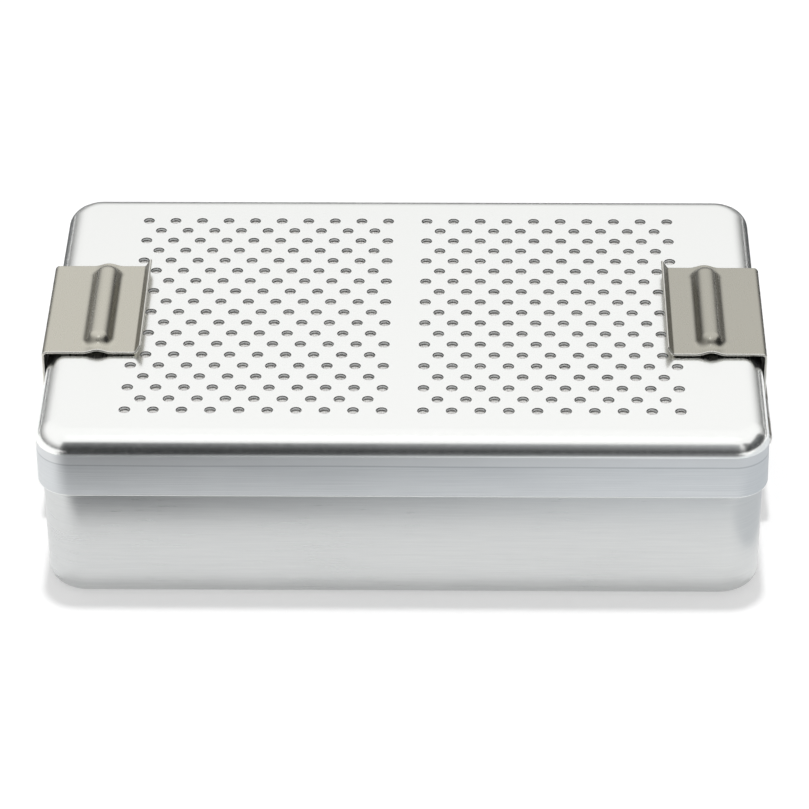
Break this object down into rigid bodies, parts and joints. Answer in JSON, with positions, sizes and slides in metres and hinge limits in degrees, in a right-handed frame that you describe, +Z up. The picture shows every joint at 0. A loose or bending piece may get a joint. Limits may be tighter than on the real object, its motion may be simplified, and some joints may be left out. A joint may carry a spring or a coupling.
{
  "type": "dental instrument cassette",
  "caption": "Closed aluminium cassette for sterilising dental instruments, with a perforated slip-over lid, hinged end clips, lid filters and a lift-out tray.",
  "frame": {"origin": "middle of the footprint, on the surface that the cassette stands on", "axes": "+X to the right along the length, +Y to the back, +Z up"},
  "size_m": [0.292, 0.181, 0.0808],
  "materials": {
    "pan_metal": "brushed along its length",
    "lid_metal": "fine satin",
    "clip_steel": "satin",
    "fitting_steel": "satin",
    "tray_steel": "electropolished satin",
    "seal_silicone": "matt",
    "filter_sheet": "matt",
    "rail_silicone": "matt",
    "foot_silicone": "matt"
  },
  "bodies": {
    "base": {"base_pan": "pan_metal", "left_hinge_bracket": "fitting_steel", "right_hinge_bracket": "fitting_steel", "left_hinge_pin": "fitting_steel", "right_hinge_pin": "fitting_steel", "left_bracket_rivets": "fitting_steel", "right_bracket_rivets": "fitting_steel"},
    "left_clip": {"left_clip": "clip_steel"},
    "right_clip": {"right_clip": "clip_steel"},
    "lid": {"lid_shell": "lid_metal", "lid_seal": "seal_silicone", "filter_left": "filter_sheet", "filter_right": "filter_sheet", "retainer_left": "fitting_steel", "retainer_right": "fitting_steel", "retainer_bar": "fitting_steel", "left_latch_stud": "fitting_steel", "right_latch_stud": "fitting_steel"},
    "left_latch": {"left_turn_latch": "fitting_steel"},
    "right_latch": {"right_turn_latch": "fitting_steel"},
    "tray": {"tray_bottom": "tray_steel", "tray_frame": "tray_steel", "tray_feet": "foot_silicone", "left_rail": "rail_silicone", "right_rail": "rail_silicone", "bail_lugs": "fitting_steel"},
    "left_bail": {"left_bail": "fitting_steel"},
    "right_bail": {"right_bail": "fitting_steel"}
  },
  "joints": [
    {"name": "lid_lift", "type": "slide", "parent": "base", "child": "lid", "axis": [0, 0, 1], "range_m": [0, 0.028]},
    {"name": "left_clip_hinge", "type": "hinge", "parent": "base", "child": "left_clip", "pos_m": [-0.1437, 0, 0.036], "axis": [0, -1, 0], "range_deg": [0, 120]},
    {"name": "right_clip_hinge", "type": "hinge", "parent": "base", "child": "right_clip", "pos_m": [0.1437, 0, 0.036], "axis": [0, 1, 0], "range_deg": [0, 120]},
    {"name": "tray_lift", "type": "slide", "parent": "base", "child": "tray", "axis": [0, 0, 1], "range_m": [0, 0.024]},
    {"name": "left_latch_turn", "type": "hinge", "parent": "lid", "child": "left_latch", "pos_m": [-0.12065, 0, 0.0704], "axis": [0, 0, 1], "range_deg": [0, 90]},
    {"name": "right_latch_turn", "type": "hinge", "parent": "lid", "child": "right_latch", "pos_m": [0.12065, 0, 0.0704], "axis": [0, 0, 1], "range_deg": [0, 90]},
    {"name": "left_bail_hinge", "type": "hinge", "parent": "tray", "child": "left_bail", "pos_m": [-0.12109, 0, 0.0078], "axis": [0, -1, 0], "range_deg": [0, 90]},
    {"name": "right_bail_hinge", "type": "hinge", "parent": "tray", "child": "right_bail", "pos_m": [0.12109, 0, 0.0078], "axis": [0, 1, 0], "range_deg": [0, 90]}
  ],
  "couplings": [
    {"joint": "left_clip_hinge", "follows": "lid_lift", "rad_per_m": 74.7},
    {"joint": "right_clip_hinge", "follows": "lid_lift", "rad_per_m": 74.7},
    {"joint": "tray_lift", "follows": "lid_lift", "ratio": 0.8}
  ]
}
